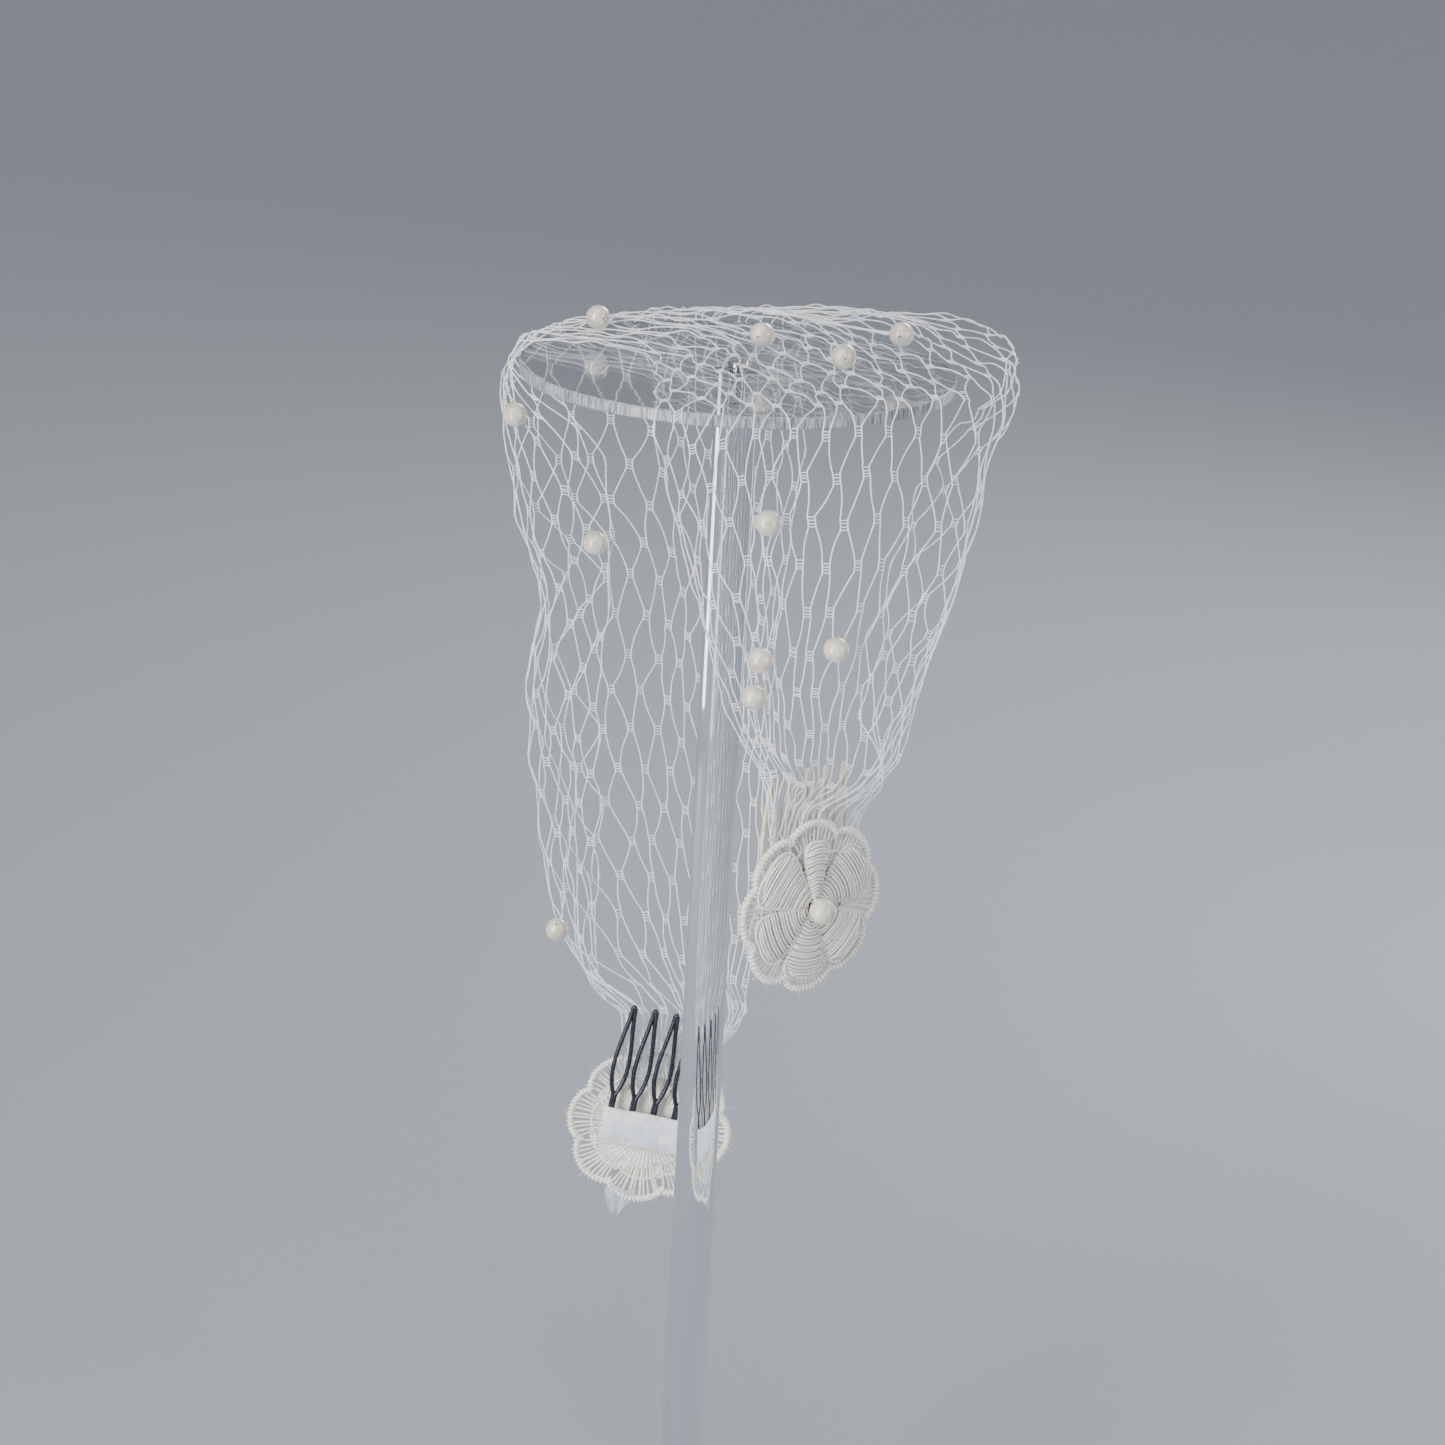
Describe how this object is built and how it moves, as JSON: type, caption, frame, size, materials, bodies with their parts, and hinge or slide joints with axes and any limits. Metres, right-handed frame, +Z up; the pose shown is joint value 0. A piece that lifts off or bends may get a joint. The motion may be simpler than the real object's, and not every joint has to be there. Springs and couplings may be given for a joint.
{
  "type": "bridal veil on display stand",
  "caption": "Short net bridal veil with sewn pearls, lace flowers and hair combs, draped over a clear disc on a rod.",
  "frame": {"origin": "centre of the base's underside, on the surface that it stands on", "axes": "+Z up along the rod, -Y towards the viewer of the picture, +X to the viewer's right"},
  "size_m": [0.1693, 0.1755, 0.4656],
  "materials": {
    "clear_acrylic": "clear cast acrylic, polished faces and a saw-cut, satin disc edge",
    "polished_steel": "bright flat-head screw",
    "veiling_net": "white nylon ladder-joint veiling net, open mesh",
    "pearl": "cream imitation pearl, soft lustre",
    "embroidered_lace": "ivory guipure lace, dense satin stitch with corded edge",
    "comb_metal": "dark polished plated wire",
    "satin_ribbon": "white satin ribbon with a soft sheen"
  },
  "bodies": {
    "root": {"stand_base": "clear_acrylic", "stand_rod": "clear_acrylic", "stand_disc": "clear_acrylic", "stand_screw": "polished_steel", "net_back_tail": "veiling_net", "net_crown": "veiling_net", "net_front_tail": "veiling_net", "pearl_back_low": "pearl", "pearl_back_middle": "pearl", "pearl_back_left": "pearl", "pearl_crown_left": "pearl", "pearl_crown_back": "pearl", "pearl_crown_middle": "pearl", "pearl_crown_right": "pearl", "pearl_front_high": "pearl", "pearl_front_left": "pearl", "pearl_front_right": "pearl", "pearl_front_low": "pearl", "back_flower_pearl": "pearl", "front_flower_pearl": "pearl", "back_flower_lower": "embroidered_lace", "back_flower_petals": "embroidered_lace", "front_flower_lower": "embroidered_lace", "front_flower_petals": "embroidered_lace", "back_comb": "comb_metal", "front_comb": "comb_metal", "back_ribbon": "satin_ribbon", "front_ribbon": "satin_ribbon"}
  },
  "joints": []
}
